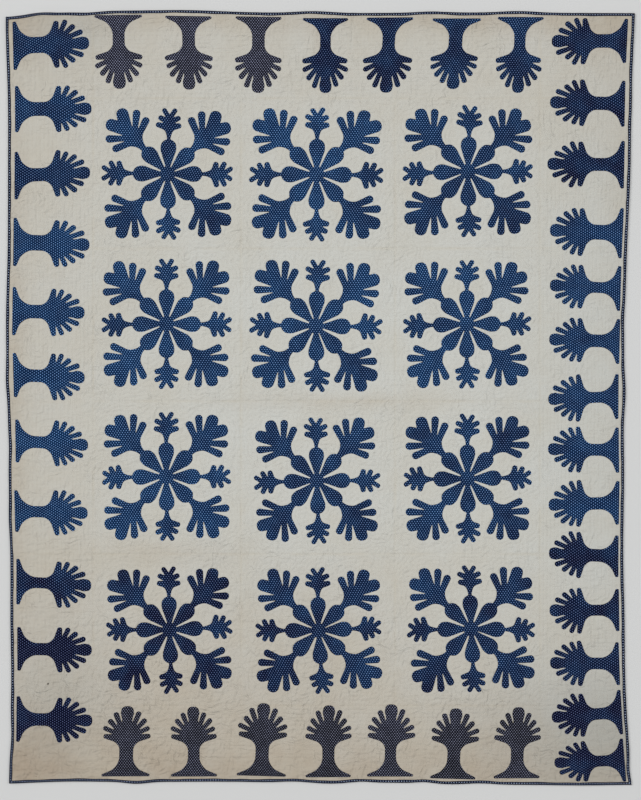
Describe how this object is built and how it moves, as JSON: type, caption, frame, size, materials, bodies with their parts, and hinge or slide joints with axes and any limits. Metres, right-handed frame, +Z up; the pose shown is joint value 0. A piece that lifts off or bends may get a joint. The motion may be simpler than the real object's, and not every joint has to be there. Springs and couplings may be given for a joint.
{
  "type": "quilt",
  "caption": "Bed quilt laid flat and face up: quilted cream cotton with blue oak-leaf medallions, a border of trees and a narrow blue binding, all sewn on.",
  "frame": {"origin": "middle of the underside, on the surface that the quilt lies on", "axes": "+X to the right and +Y to the top edge, as the quilt is seen from above; +Z up out of its face"},
  "size_m": [1.8999, 2.338, 0.0063],
  "materials": {
    "cream_cotton": "quilted plain-weave cotton, aged",
    "indigo_print": "indigo cotton with small pale dots",
    "slate_print": "dark grey cotton with fine pale dots",
    "binding_print": "indigo cotton with small pale dots, folded over the edge"
  },
  "bodies": {
    "root": {"body": "cream_cotton", "binding_left": "binding_print", "binding_right": "binding_print", "binding_bottom": "binding_print", "binding_top": "binding_print", "medallion_r1_c1": "indigo_print", "medallion_r1_c2": "indigo_print", "medallion_r1_c3": "indigo_print", "medallion_r2_c1": "indigo_print", "medallion_r2_c2": "indigo_print", "medallion_r2_c3": "indigo_print", "medallion_r3_c1": "indigo_print", "medallion_r3_c2": "indigo_print", "medallion_r3_c3": "indigo_print", "medallion_r4_c1": "indigo_print", "medallion_r4_c2": "indigo_print", "medallion_r4_c3": "indigo_print", "tree_left_01": "indigo_print", "tree_left_02": "indigo_print", "tree_left_03": "indigo_print", "tree_left_04": "indigo_print", "tree_left_05": "indigo_print", "tree_left_06": "indigo_print", "tree_left_07": "indigo_print", "tree_left_08": "indigo_print", "tree_left_09": "indigo_print", "tree_left_10": "indigo_print", "tree_left_11": "indigo_print", "tree_right_01": "indigo_print", "tree_right_02": "indigo_print", "tree_right_03": "indigo_print", "tree_right_04": "indigo_print", "tree_right_05": "indigo_print", "tree_right_06": "indigo_print", "tree_right_07": "indigo_print", "tree_right_08": "indigo_print", "tree_right_09": "indigo_print", "tree_right_10": "indigo_print", "tree_right_11": "indigo_print", "tree_right_12": "indigo_print", "tree_right_13": "indigo_print", "tree_right_14": "indigo_print", "tree_top_01": "slate_print", "tree_top_02": "slate_print", "tree_top_03": "slate_print", "tree_top_04": "indigo_print", "tree_top_05": "indigo_print", "tree_top_06": "indigo_print", "tree_top_07": "indigo_print", "tree_bottom_01": "slate_print", "tree_bottom_02": "slate_print", "tree_bottom_03": "slate_print", "tree_bottom_04": "slate_print", "tree_bottom_05": "slate_print", "tree_bottom_06": "slate_print", "tree_bottom_07": "slate_print"}
  },
  "joints": []
}
